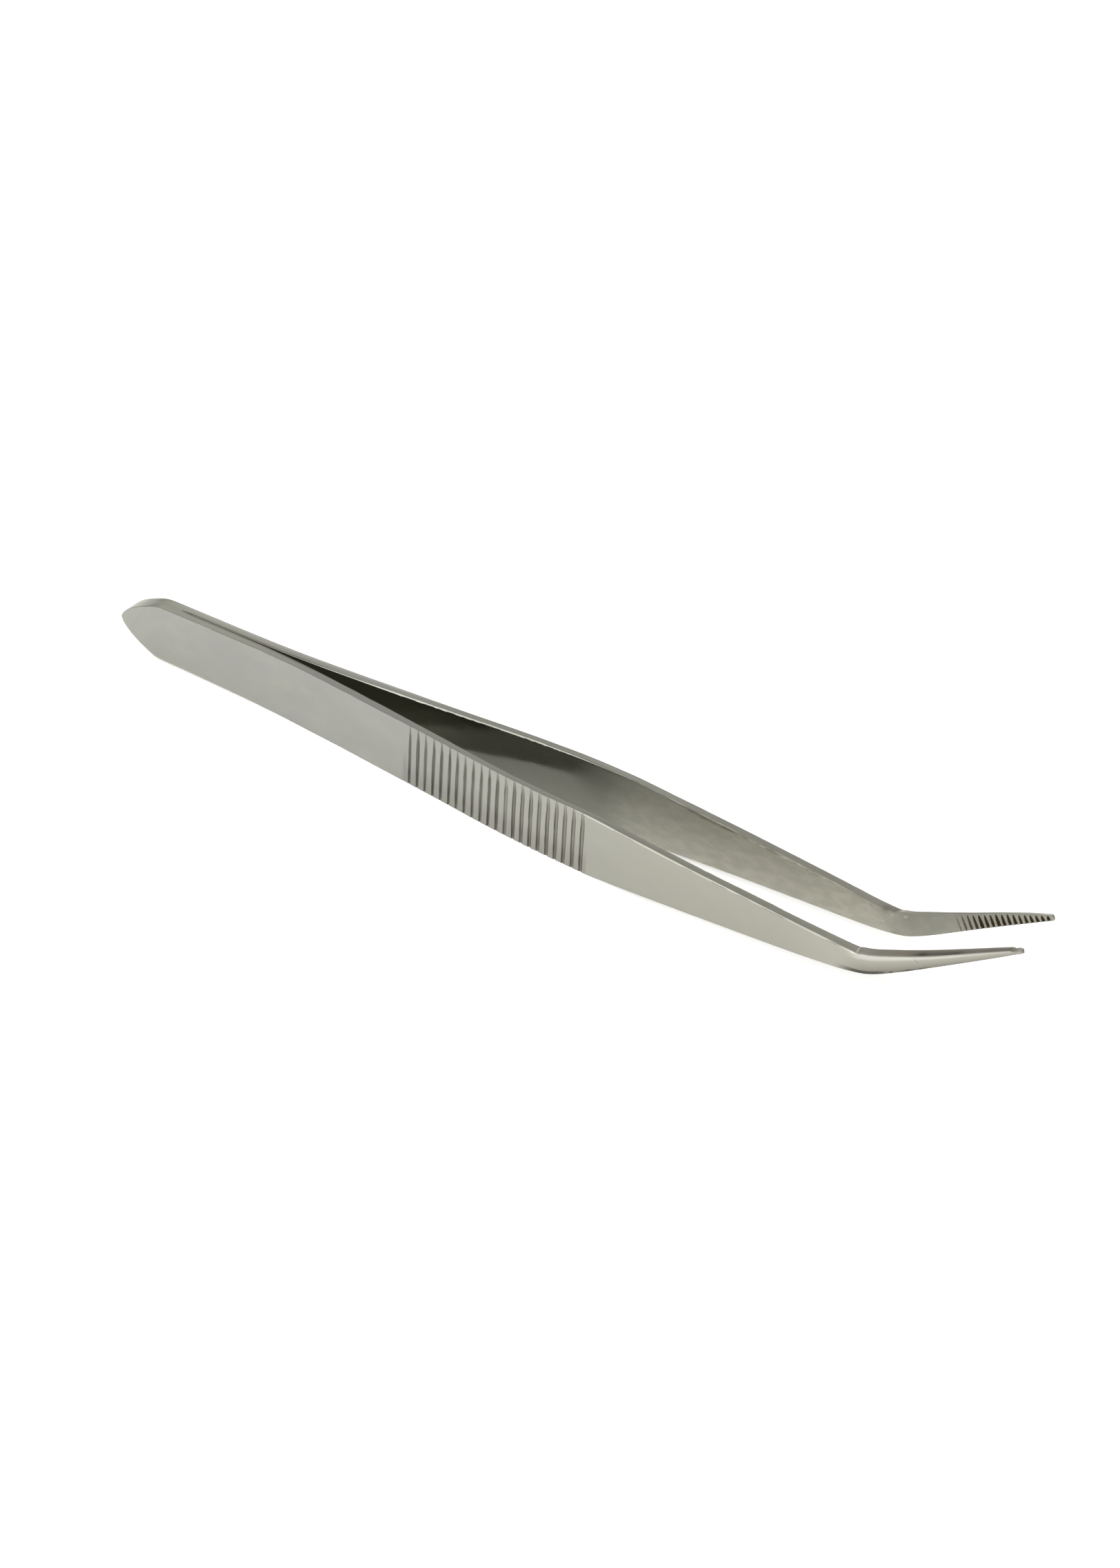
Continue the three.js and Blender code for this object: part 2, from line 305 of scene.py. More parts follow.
def side_grid():
    """The grid both arms share, one row per section line and one column per point up it.

    station and height have one column; upward is the (x, z, depth) direction of each line.
    share runs 0 to 1 from lower to upper edge, edge is the distance to the outline, and
    end runs 0 to 1 along the nose.
    """
    stations, top, low = section_ends(mesh_stations())
    height = np.linalg.norm(top - low, axis=1)[:, None]
    across = spacing(height)
    share = across / height
    points = low[:, None, :] + share[..., None] * (top - low)[:, None, :]
    along = np.repeat(stations[:, None], across.shape[1], 1)
    upward = np.hstack([(top - low) / height, np.zeros_like(height)])
    return SimpleNamespace(
        station=stations[:, None], height=height, upward=upward[:, None, :],
        across=across, share=share, upper_half=share > 0.5,
        x=points[..., 0], z=points[..., 1], along=along,
        edge=distance_to_outline(points.reshape(-1, 2)).reshape(across.shape),
        below_top=(1 - share) * height,
        end=np.clip((along - NOSE_FROM) / NOSE_LENGTH, 0, 1))


WALL = np.linspace(0, 1, WALL_POINTS + 2)[1:-1]   # from the inner to the outer face


def around(grid, inner, top, outer, low):
    """Join values for the two faces and two narrow edges into one ring per section line."""
    rows, face = grid.share.shape
    inner, top, outer, low = (
        np.broadcast_to(part, (rows, width) + np.shape(part)[2:])
        for part, width in zip((inner, top, outer, low), (face, WALL_POINTS) * 2))
    return np.concatenate([inner, top, outer[:, ::-1], low[:, ::-1]], axis=1)


# ------------------------------------------------------------------ arm faces
# Every noise wave adds its own step to the arm's seed.
def teeth(grid, seed):
    """Serrations across the inner face of the tip: their depth and how much darker they are."""
    along, share = grid.along, grid.share
    tooth = np.round((along - TEETH_FIRST) / TEETH_PITCH)
    early = np.clip(0.25 + 0.2 * tooth, 0, 1)      # the first few are shallower
    vary = 1 + waves(tooth, seed, (9, 0.10, 1.7, 0.3))
    reach_up = 0.885 + waves(tooth, seed, (10, 0.025, 2.3, 0.9))
    inside = (tooth >= 0) & (tooth <= TEETH_COUNT - 1) & (share < reach_up)
    up = np.clip(share / reach_up, 0, 1)
    taper = np.sqrt(np.clip(1 - up**3.2, 0, 1)) * (0.80 + 0.20 * smooth(0.0, 0.35, up))
    half_width = TEETH_WIDTH / 2 * taper * (0.42 + 0.58 * early) * vary
    off = (along - (TEETH_FIRST + tooth * TEETH_PITCH)) / np.maximum(half_width, 1e-3)
    cut = np.where(inside, np.clip(1 - np.abs(off) ** 2.0, 0, 1), 0)
    cut = cut * TEETH_DEPTH * early * vary * taper**0.7
    # darker where the cut is deep
    darkening = smooth(0.02, 0.28, cut / TEETH_DEPTH) * (0.5 + 0.5 * early)
    open_end = 0.45 + 0.55 * smooth(0.0, 0.25, share)
    return cut * open_end, darkening


def inner_depth(grid, side, seed, cut):
    """Depth of the inner face: bevelled edges, serrations and a faint waviness."""
    along, edge = grid.along, grid.edge
    ragged = band(along, (78, 86), (118, 124))
    low_bevel = 0.075 + waves(along, seed, (1, 0.02, 0.8), (2, 0.012, 3.1))
    top_bevel = (0.17 + waves(along, seed, (3, 0.03, 0.31), (4, 0.02, 1.3))
                 + ragged * (-0.10 + waves(along, seed, (5, 0.05, 0.55), (6, 0.05, 2.3))))
    bevel = np.clip(np.where(grid.upper_half, top_bevel, low_bevel), 0.03, 0.4)
    # narrower at the bend and at the tail, wider again above the tip
    bevel *= 1 - smooth(116, 123, along) * 0.9
    bevel *= 0.35 + 0.65 * smooth(18, 44, along)
    tip_bevel = 0.20 if side > 0 else 0.10
    tip_bevel = tip_bevel * smooth(126.8, 130, along) * (1 - 0.4 * smooth(140, 149, along))
    bevel = bevel + np.where(grid.upper_half, tip_bevel, 0)
    free = smooth(9.6, 13.0, along)                # 0 where the arms are fused
    bevel = np.maximum(bevel * free, 1e-4)
    depth = rounding(bevel, edge)
    # a flat chamfer replaces the rounding on the upper edge before and under the grip
    chamfer = np.where(grid.upper_half, band(along, (37, 46), (68, 82)), 0)
    depth = depth * (1 - chamfer) + np.clip(0.95 * bevel - edge, 0, None) * chamfer
    depth = np.maximum(depth, cut)
    wave = surface_waves(grid, seed, (11, 0.010, 0.16, 0.25), (12, 0.004, 0.6, 0.7))
    return depth + wave * free * (edge > 0.02) * smooth(0, 0.5, edge)


def grip_grooves(grid, seed):
    """Grooves across the outer face: a steep wall on the tail side, then a slope in the
    first ones and a flat floor in the later ones.

    Returns the depth cut, the mark of a false start beside the first groove, and the
    darkening: in the grooves, and on the lower half partly dirt and partly painted shade.
    """
    along, share = grid.along, grid.share
    groove = np.round((along - GRIP_FIRST) / GRIP_PITCH)
    groove = np.where((along - GRIP_FIRST - groove * GRIP_PITCH) < -0.45, groove - 1, groove)
    inside = (groove >= 0) & (groove <= GRIP_COUNT - 1)
    wander = (waves(groove, seed, (31, 0.022, 1.3, 0.7))
              + 0.022 * noise2(groove * 0.9, share * 2.6, seed + 32))
    flat = smooth(8, 14, groove)
    # the grooves run out towards the upper edge
    run_out = np.clip((1.03 - share) / 0.24, 0, 1) ** 0.8
    fullness = 0.34 + 0.66 * run_out
    depth = GRIP_DEPTH * (1 + waves(groove, seed, (34, 0.10, 1.9, 0.2))
                          + 0.08 * noise2(groove * 0.7, share * 2.5, seed + 35))
    depth = depth * fullness * (0.86 + 0.14 * flat)
    spread = fullness**0.6 * (1 + waves(groove, seed, (33, 0.08, 2.1, 0.4)))
    x = along - (GRIP_FIRST + groove * GRIP_PITCH) - wander
    tail_part = np.clip(1 - (GRIP_WALL - x) / (0.125 * spread), 0, 1)
    u = np.clip((x - GRIP_WALL) / ((0.50 + 0.04 * flat) * spread), 0, 1)
    tip_part = (1 - u**1.15) * (1 - flat) + (1 - u**3.2) * flat
    shape = np.where(x < GRIP_WALL, np.sin(tail_part * math.pi / 2), tip_part)
    cut = np.where(inside, shape * depth, 0)

    # darker on each groove's steep wall and floor
    on_wall = np.where(inside & (x < GRIP_WALL + 0.05) & (cut > 0.01),
                       smooth(0.03, 0.45, tail_part), 0)
    on_floor = np.where(inside & (x >= GRIP_WALL), np.clip(shape, 0, 1), 0)
    covered = smooth(0.0, 0.30, on_floor)
    darkening = np.maximum(on_wall * 0.52, covered * 0.06 + on_floor**5 * 0.16)
    darkening = darkening * (0.75 + 0.25 * run_out)
    darkening = darkening * (0.9 + 0.2 * noise2(groove * 0.8 + 3, share * 4.0, seed + 36))
    # darker on the lower half: partly dirt, partly painted shade
    low_dirt_and_shade = 0.20 + 0.20 * np.maximum(covered, np.clip(on_wall * 2, 0, 1))
    darkening = darkening + low_dirt_and_shade * smooth(0.50, 0.12, share) * np.where(inside, 1, 0)
    false_start = spot(along, GRIP_FIRST - 0.84, 0.10) * smooth(0.62, 0.25, share)
    return cut, false_start, np.maximum(darkening, 0.28 * false_start)


def outer_depth(grid, seed, cut, false_start):
    """Depth of the outer face: crowned, with rounded edges and the grip cut into it."""
    along, share, edge = grid.along, grid.share, grid.edge
    thick = thickness(grid.x)
    crisp = band(along, (76, 86), (126.2, 128.0))
    knee = band(along, (122.5, 127), (130.5, 135.5))
    top_radius = (0.05 + 0.14 * crisp + 0.10 * smooth(126, 128, along)
                  + waves(along, seed, (13, 0.012, 0.9)))
    low_radius = (0.10 + waves(along, seed, (14, 0.02, 0.2)) + 0.10 * smooth(122, 127, along)
                  + 0.16 * knee + 0.18 * (1 - smooth(2, 8, along)))
    radius = np.where(grid.upper_half, top_radius, low_radius)
    # the crown is highest on the grip and fades at the tail end and at the bend
    crown = 0.035 + 0.05 * band(along, (45, 54), (83, 96))
    crown = crown * (1 - smooth(120, 128, along)) * (1 - np.exp(-along / 5.0))
    depth = thick - crown * (2 * share - 1) ** 2
    # the tip thins towards its lower edge and a little towards its upper one
    tip = smooth(123, 129, along)
    depth = depth * (1 - tip * (0.05 + 0.05 * knee) * (1 - share) ** 2)
    depth = depth - tip * 0.05 * smooth(0.55, 1.0, share)
    lip = rounding(np.minimum(np.maximum(radius, 1e-4), thick * 0.45), edge)
    # a straight chamfer replaces the rounding on the upper edge from grip to bend
    chamfer = np.where(grid.upper_half, crisp * (1 - smooth(125.9, 126.7, along)), 0)
    chamfer_width = 0.15 + waves(along, seed, (15, 0.02, 0.7))
    lip = lip * (1 - chamfer) + np.clip(chamfer_width - edge, 0, None) * chamfer
    wave = surface_waves(grid, seed, (21, 0.011, 0.13, 0.2), (22, 0.003, 0.55, 0.6))
    depth = depth - lip + wave * smooth(0, 0.8, edge)
    grooved = np.minimum(depth, thick - crown * 0.35 - cut)
    return np.where(cut > 0.004, grooved, depth) - 0.035 * false_start


def outer_marks_and_shade(grid, side, seed, darkening):
    """Marks and painted shade on the outer face, added to the grip's darkening; the strongest
    mark wins.
    """
    along, share = grid.along, grid.share
    marks = [
        darkening,
        # painted shade on the underside at the bend
        band(along, (122.8, 126.6), (129.0, 133.0)) * smooth(0.30, 0.15, share),
        # a thin darker line along the lower edge
        (0.34 + waves(along, seed, (37, 0.14, 0.35))) * band(along, (12, 30), (118, 124))
        * smooth(0.24, 0.05, grid.edge) * (share < 0.5),
        # painted shade: the tip, darker towards its underside
        0.66 * smooth(123.5, 128, along) * np.clip(1 - share / 0.82, 0, 1) ** 1.35,
    ]
    if side < 0:
        # painted shade of the underside as a speckled dark line on the lower edge of the right
        # tip, and a hairline scratch across it
        marks.append((0.80 + waves(along, seed, (39, 0.30, 1.6)))
                     * band(along, (126, 129), (136, 143)) * smooth(0.25, 0.10, share))
        scratch = (135.42 + 0.16 * smooth(0.85, 0.45, share)
                   + waves(share, seed, (38, 0.05, 9.0)))
        marks.append(0.62 * spot(along, scratch, 0.05)
                     * band(share, (0.38, 0.48), (0.90, 0.96)))
    return np.clip(np.maximum.reduce(marks), 0, 1)


def place_faces(grid, side, inner_t, outer_t):
    """Points (x, z, depth) of the inner and outer face, with what sets the two tips apart."""
    along, share, end = grid.along, grid.share, grid.end
    # the very end is rounded from the outer side, more so on the left
    outer_t = np.maximum(outer_t, inner_t + MIN_METAL)
    thinning = 0.68 * end**2.2 if side > 0 else 0.10 * end**5
    outer_t = inner_t + (outer_t - inner_t) * (1 - thinning)
    inner_t = inner_t + (0.16 if side > 0 else 0.30) * end**3

    inner = np.stack([grid.x, grid.z, inner_t], 2)
    lean = 0.13 if side < 0 else 0.04
    lean = lean * smooth(121.0, 127.0, along) * (1 - 0.85 * smooth(136, 147, along))
    drop = lean * thickness(grid.x) * smooth(0.4, 1.0, share)
    if side > 0:
        # the upper edge is rolled over, so the inner face reaches almost to the top
        lift = 0.10 * smooth(122, 125.5, along) + 0.10 * smooth(130, 136, along)
        lift = lift * (1 - 0.5 * smooth(143, 149, along)) * smooth(0.3, 1.0, share)
        rolled = 0.54 * smooth(124.8, 128.6, along) * (1 - 0.45 * smooth(141, 149, along))
        rolled = rolled * smooth(0.3, 1.0, share)
        inner = inner + (lift + rolled)[..., None] * grid.upward
        drop = drop + rolled
        reach = -0.55 * end
    else:
        # a longer tip with a step near its end; its outer face sits lower and bends later
        inner = inner + (0.12 * end * NOSE_LENGTH)[..., None] * TIP_WAY
        step = 0.13 * smooth(148.2, 148.7, along) + 0.04 * spot(along, 148.72, 0.16)
        inner[..., 1] -= step * smooth(0.3, 0.9, share)
        drop = drop + 0.20 * smooth(121, 128, along) * smooth(0.75, 0.2, share)
        reach = (0.26 * band(along, (119, 126), (128.5, 136)) * smooth(0.5, 1.0, share)
                 + 0.30 * end)
    outer = inner - drop[..., None] * grid.upward + reach[..., None] * TIP_WAY
    outer[..., 2] = outer_t
    return inner, outer


def edge_wall(grid, seed, inner, outer, column, sign):
    """Points of a narrow edge between the two faces, a little proud along its middle."""
    start, end = inner[:, column, None], outer[:, column, None]
    proud = 0.02 * np.sin(np.pi * WALL) * smooth(1, 8, grid.station)
    proud = proud + 0.004 * noise2(grid.station * 0.4, WALL[None] * 1.6 + 5, seed + 41 + sign)
    if sign > 0:
        # flatter beyond the bend, with a small burr across the corner of the bend
        proud = proud * (1 - 0.4 * smooth(120, 127, grid.station))
        proud = proud + 0.03 * spot(grid.station, 126.55, 0.07)
    return (start + WALL[None, :, None] * (end - start)
            + sign * proud[..., None] * grid.upward)


# ------------------------------------------------------------------ arm wear
def dots(grid, table):
    """Small soft marks: (strength, station, width along, distance below top, its width)."""
    return sum(strength * spot(grid.along, at, width) * spot(grid.below_top, down, tall)
               for strength, at, width, down, tall in table)


def wear(grid, side, tooth_darkening, outer_shade_and_marks):
    """Darkening, stains, scuffs, painted shade and painted highlights round each section line.
    """
    along, station, share = grid.along, grid.station, grid.share
    below_top = grid.below_top
    burr_highlight = spot(station, 126.55, 0.10)
    # dark lines where the two arms meet beyond the weld
    seam = band(station, (9.5, 11.5), (30, 38))
    scuff = 0.5 * seam * smooth(0.985, 1.0, share)
    stain = 0.42 * seam * smooth(0.34, 0.06, WALL)
    inner_glint = outer_glint = 0
    if side > 0:
        # scuffs beside the upper edge of the inner face
        scuff_line = below_top - 0.05 * noise1(along * 1.4, 61)
        scuff += 0.55 * band(along, (92.5, 93.5), (99.5, 101)) * spot(scuff_line, 0.34, 0.085)
        patchy = band(along, (84, 90), (112, 118)) * smooth(0.1, 0.5, noise1(along * 0.9, 62))
        scuff += 0.35 * patchy * spot(below_top, 0.28, 0.07)
        scuff += dots(grid, [(0.40, 124.8, 0.55, 0.05, 0.35), (0.30, 122.6, 0.25, 0.45, 0.16),
                             (0.22, 125.9, 0.22, 3.0, 0.2)])
        # stains at the bend and on the rolled upper edge
        stain = stain + 0.40 * spot(station, 124.8, 0.8) * smooth(0.95, 0.4, WALL)
        stain = stain + (0.30 * band(station, (127, 133), (147.0, 148.8))
                         * smooth(-0.05, 0.35, WALL))
        # painted highlights on the upper edge: the burr's glint, a faint run beyond the grip, a
        # strong one by the tail
        top_glint = burr_highlight * (0.15 + 0.15 * WALL)
        top_glint += 0.14 * band(station, (70, 80), (90, 100)) * smooth(0.95, 0.6, WALL)
        top_glint += band(station, (6, 12), (44, 58)) * (0.12 + 0.55 * smooth(0.5, 0.95, WALL))
        # painted highlights as broken bright lines on the inner face: (from, to, distance below
        # top, strength)
        broken = smooth(-0.5, 0.1, noise1(along * 2.2, 63))
        glint_line = below_top - 0.03 * noise1(along, 64)
        for start, end, down, strength in ((102.2, 105.6, 0.22, 0.9), (107.6, 113.2, 0.20, 0.8),
                                           (114.0, 115.3, 0.22, 0.7)):
            gate = band(along, (start, start + 0.5), (end - 0.5, end)) * broken
            inner_glint = inner_glint + strength * gate * spot(glint_line, down, 0.055)
        # painted highlights: small bright dots near the bend
        inner_glint = inner_glint + dots(grid, [
            (0.6, 128.2, 0.2, 0.62, 0.09), (0.6, 124.3, 0.2, 2.0, 0.09),
            (0.6, 125.9, 0.2, 0.45, 0.09)])
    else:
        # a blotched upper edge on the tip
        blot = (band(station, (133.5, 136.5), (140.5, 144.0))
                + 0.45 * band(station, (141, 144), (148.3, 148.6)))
        blot = blot * (0.9 + 0.25 * noise1(station * 0.8, 71))
        stain = stain + 0.82 * blot * smooth(0.05, 0.7, WALL)
        # painted highlights on the burr, the nose and the upper part of the tip's outer face
        top_glint = burr_highlight * (0.65 + 0.35 * WALL)
        top_glint += 0.5 * band(grid.end[:, :1], (0.1, 0.5), (0.8, 1.0)) * (0.6 + 0.4 * WALL)
        outer_glint = (0.42 * smooth(124.5, 127.5, along)
                       * (1 - 0.5 * smooth(140, 147, along)) * smooth(0.66, 0.88, share))
    groove = around(grid, np.maximum(tooth_darkening, scuff), np.clip(stain, 0, 1), outer_shade_and_marks, 0)
    return groove, around(grid, inner_glint, top_glint, outer_glint, 0)


# ------------------------------------------------------------------ meshes
def shell_faces(rows, face, wall, mirrored, roll=0):
    """Faces of a closed shell of rings: face points up, wall across, face down, wall back.

    roll turns the corner order of the side quads, which sets how they split.
    """
    index = np.arange(rows * 2 * (face + wall)).reshape(rows, -1)
    near, far = index[:-1], index[1:]
    quads = np.stack([near, far, np.roll(far, -1, 1), np.roll(near, -1, 1)], 2).reshape(-1, 4)
    if mirrored:
        quads = quads[:, ::-1]
    faces = np.roll(quads, roll, 1).tolist()
    # end caps, as strips between the two faces
    for ring, flip in ((index[0].tolist(), mirrored), (index[-1].tolist(), not mirrored)):
        first, top = ring[:face], ring[face:face + wall]
        second, low = ring[face + wall:2 * face + wall][::-1], ring[2 * face + wall:]
        cap = [[first[j], first[j + 1], second[j + 1], second[j]] for j in range(face - 1)]
        cap.append([first[-1]] + top + [second[-1]])
        cap.append([second[0]] + low + [first[0]])
        faces += [polygon[::-1] if flip else polygon for polygon in cap]
    return faces


def build_object(name, points, faces, flow, **attributes):
    """Object from rings of (x, y, z) in mm; flow holds (along, across, piece) coordinates."""
    verts = (points.reshape(-1, 3) + (-LENGTH / 2, 0, LIFT)) / 1000.0
    mesh = bpy.data.meshes.new(name)
    mesh.from_pydata(verts.tolist(), [], faces)
    mesh.update()
    for key, value in attributes.items():
        values = np.broadcast_to(np.asarray(value, np.float32), points.shape[:2])
        mesh.attributes.new(key, "FLOAT", "POINT").data.foreach_set("value", values.ravel())
    layer = mesh.attributes.new("flow", "FLOAT_VECTOR", "POINT")
    layer.data.foreach_set("vector", flow.astype(np.float32).ravel())
    obj = bpy.data.objects.new(name, mesh)
    bpy.context.scene.collection.objects.link(obj)

    bm = bmesh.new()
    bm.from_mesh(mesh)
    bmesh.ops.recalc_face_normals(bm, faces=bm.faces)
    if bm.calc_volume(signed=True) < 0:
        bmesh.ops.reverse_faces(bm, faces=bm.faces)
    bm.to_mesh(mesh)
    bm.free()
    mesh.polygons.foreach_set("use_smooth", [True] * len(mesh.polygons))
    mesh.set_sharp_from_angle(angle=math.radians(SHARP_ANGLE))
    mesh.update()
    return obj


def arm(name, grid, side, seed):
    """One arm as a closed mesh. side +1 is the left arm (+Y), -1 the right."""
    tooth_cut, tooth_darkening = teeth(grid, seed)
    groove_cut, false_start, darkening = grip_grooves(grid, seed)
    inner, outer = place_faces(grid, side, inner_depth(grid, side, seed, tooth_cut),
                               outer_depth(grid, seed, groove_cut, false_start))
    ring = around(grid, inner, edge_wall(grid, seed, inner, outer, -1, 1),
                  outer, edge_wall(grid, seed, inner, outer, 0, -1))
    x, z, depth = ring[..., 0], ring[..., 1], ring[..., 2]
    y = inner_face(x) + FACE_GAP + depth
    # the arms leave room for the weld between them
    y = np.where((x < WELD_POCKET) & (depth < WELD_HALF), WELD_HALF, y)

    # distance round the section, for the textures: each edge counts as about 1.3 mm wide
    height, across = grid.height, grid.across
    round_mm = around(grid, across, height + WALL * 1.3, height + 1.4 + (height - across),
                      2 * height + 1.5 + WALL[::-1] * 1.3)
    flow = np.stack([np.broadcast_to(grid.station, x.shape), round_mm,
                     np.full(x.shape, 3.0 * side)], 2)
    # groove gathers darkening, stains, scuffs and painted shade; glint gathers painted
    # highlights
    groove, glint = wear(grid, side, tooth_darkening, outer_marks_and_shade(grid, side, seed, darkening))
    rows, face = grid.share.shape
    return build_object(
        name, np.stack([x, y * side, z], 2), shell_faces(rows, face, WALL_POINTS, side < 0),
        flow, groove=groove, kind=around(grid, 0, 0.5, 1, 0.5),
        edge_mm=around(grid, grid.edge, 0, grid.edge, 0),
        across=around(grid, grid.share, 1, grid.share, 0),
        glint=glint, rim=around(grid, 0, WALL, 1, WALL))


def weld(name):
    """The metal that fills the gap between the arms at the tail, slightly crowned."""
    up = np.linspace(0, 1, WELD_FACE_POINTS)
    wide = np.linspace(-1, 1, WELD_WIDTH_POINTS)[1:-1]
    rings = []
    for x in TAIL_STATIONS + [9.5, WELD_LENGTH]:
        low, high = float(lower(x)), float(upper(x))
        crown = 0.02 * (1 - np.abs(wide) ** 2.5) * min(1.0, x / 3)
        ripple = 0.006 * noise2(x * 1.4, wide * 2 + 7, 77)
        ring = [(x, -WELD_HALF, low + (high - low) * u) for u in up]
        ring += [(x, WELD_HALF * u, high + c + r) for u, c, r in zip(wide, crown, ripple)]
        ring += [(x, WELD_HALF, high - (high - low) * u) for u in up]
        ring += [(x, -WELD_HALF * u, low - c + r) for u, c, r in zip(wide, crown, ripple)]
        rings.append(ring)
    points = np.array(rings)
    x, y, z = np.moveaxis(points, 2, 0)
    faces = shell_faces(len(rings), len(up), len(wide), mirrored=True, roll=1)
    return build_object(name, points, faces, np.stack([x, z + y, np.full_like(x, 9.0)], 2),
                        groove=0, kind=0.5, edge_mm=0, across=0.5, glint=0, rim=0.5)


# ------------------------------------------------------------------ materials
def srgb(*channels):
    shares = [value / 255 for value in channels]
    return [v / 12.92 if v <= 0.04045 else ((v + 0.055) / 1.055) ** 2.4 for v in shares]


def shade(colour, *factors):
    """A colour scaled by one factor, or by one for each channel."""
    return [c * f for c, f in zip(colour, factors if len(factors) == 3 else factors * 3)]


class Nodes:
    """Short ways to add shader nodes to a material or world."""

    def __init__(self, owner):
        owner.use_nodes = True
        self.tree = owner.node_tree
        self.tree.nodes.clear()

    def add(self, kind, **values):
        node = self.tree.nodes.new(kind)
        for key, value in values.items():
            setattr(node, key, value)
        return node

    def link(self, output, socket):
        self.tree.links.new(output, socket)

    def attribute(self, name, output="Fac"):
        return self.add("ShaderNodeAttribute", attribute_name=name).outputs[output]

    def math(self, operation, *values, clamp=False):
        node = self.add("ShaderNodeMath", operation=operation, use_clamp=clamp)
        for socket, value in zip(node.inputs, values):
            if isinstance(value, (int, float)):
                socket.default_value = value
            else:
                self.link(value, socket)
        return node.outputs[0]

    def times(self, first, *others):
        for other in others:
            first = self.math("MULTIPLY", first, other)
        return first

    def invert(self, value):
        return self.math("SUBTRACT", 1.0, value, clamp=True)

    def peak(self, value, at, steepness):
        """1 where value is at the middle, falling straight to 0 on both sides."""
        off = self.math("ABSOLUTE", self.math("SUBTRACT", value, at))
        return self.invert(self.times(off, steepness))

    def remap(self, value, source, target=(0.0, 1.0), curve="SMOOTHSTEP"):
        """Map the source range (from, to) onto the target range (from, to)."""
        node = self.add("ShaderNodeMapRange", clamp=True, interpolation_type=curve)
        self.link(value, node.inputs["Value"])
        for key, number in zip(("From Min", "From Max", "To Min", "To Max"), source + target):
            node.inputs[key].default_value = number
        return node.outputs["Result"]

    def noise(self, vector, rate, shift, detail, rough, turn=0.0):
        """Noise with rate bumps per mm (along, across), moved by shift and turned."""
        mapping = self.add("ShaderNodeMapping")
        self.link(vector, mapping.inputs["Vector"])
        mapping.inputs["Scale"].default_value = (*rate, 1)
        mapping.inputs["Location"].default_value = (*shift, 0)
        mapping.inputs["Rotation"].default_value = (0, 0, turn)
        node = self.add("ShaderNodeTexNoise")
        self.link(mapping.outputs["Vector"], node.inputs["Vector"])
        for key, number in (("Scale", 1.0), ("Detail", detail), ("Roughness", rough)):
            node.inputs[key].default_value = number
        return node.outputs["Fac"]

    def mix(self, amount, first, second, blend="MIX"):
        node = self.add("ShaderNodeMix", data_type="RGBA", blend_type=blend, clamp_factor=True)
        self.link(amount, node.inputs[0])
        for socket, colour in ((node.inputs[6], first), (node.inputs[7], second)):
            if isinstance(colour, (list, tuple)):
                socket.default_value = (*colour, 1.0)
            else:
                self.link(colour, socket)
        return node.outputs[2]


STEEL = srgb(163.5, 163, 155.5)
# dark colours: dirt, stains and painted shade on the outer face and edges, darkening on the
# inner face
DIRT_AND_SHADE_OUTER = srgb(84, 80, 72)
DARK_INNER = srgb(72, 60, 46)
# colour of the painted highlights
PAINTED_HIGHLIGHT = (0.86, 0.85, 0.80)
STRAY_LIGHT = (1.0, 0.98, 0.66, 1)


